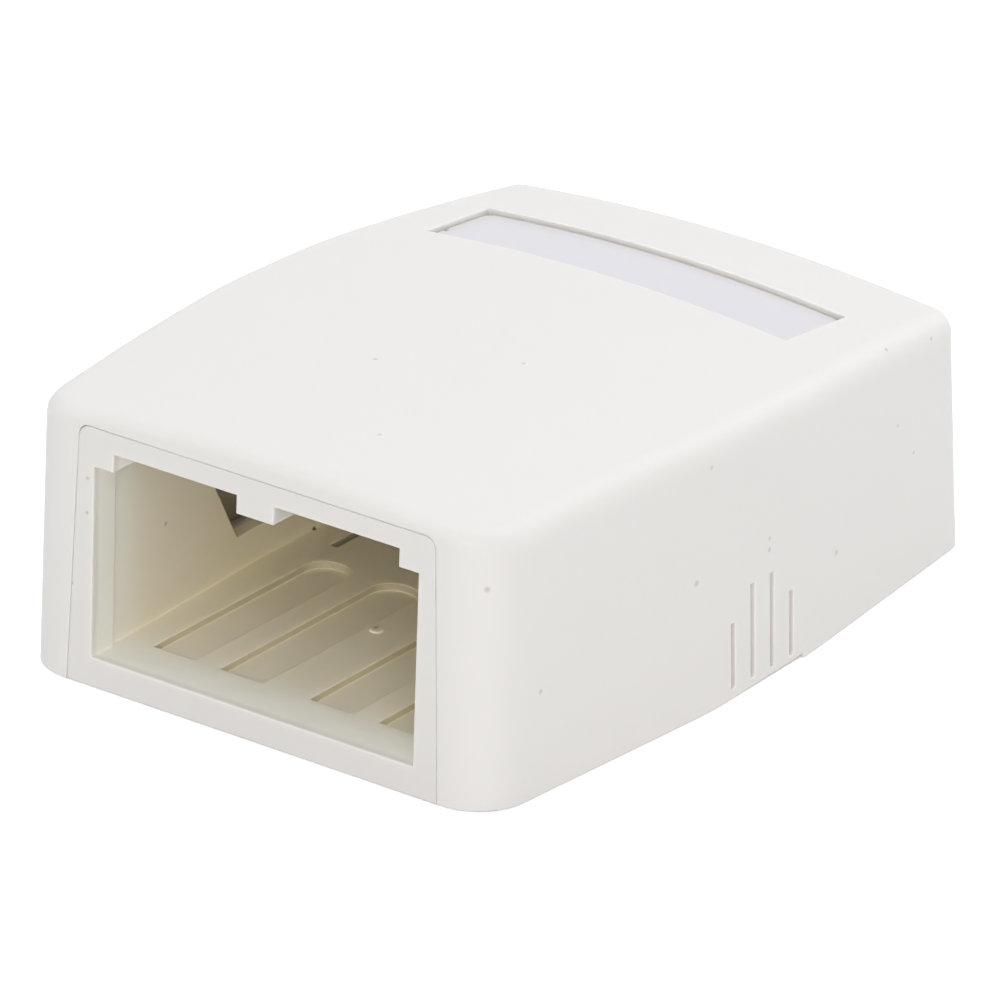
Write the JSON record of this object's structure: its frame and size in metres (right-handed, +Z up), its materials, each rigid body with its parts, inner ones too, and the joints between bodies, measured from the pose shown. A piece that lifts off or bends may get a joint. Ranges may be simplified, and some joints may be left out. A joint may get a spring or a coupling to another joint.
{
  "type": "surface mount jack box",
  "caption": "Low off-white box with a domed lift-off cover over a base whose stepped front window takes snap-in network modules, and a label strip near the rear.",
  "frame": {"origin": "middle of the footprint, on the mounting plane", "axes": "+Z up out of the mounting plane, -Y out of the front window, +X to the right seen from the front"},
  "size_m": [0.0504, 0.0686, 0.0255],
  "materials": {
    "base_plastic": "moulded, fine satin",
    "cover_plastic": "moulded, fine satin",
    "card_paper": "plain uncoated, blank",
    "strip_plastic": "clear, thin"
  },
  "bodies": {
    "base_body": {"base": "base_plastic"},
    "cover_body": {"cover": "cover_plastic", "label_card": "card_paper", "label_window": "strip_plastic"}
  },
  "joints": [
    {"name": "cover_lift", "type": "slide", "parent": "base_body", "child": "cover_body", "axis": [0, 0, 1], "range_m": [0, 0.03]}
  ]
}
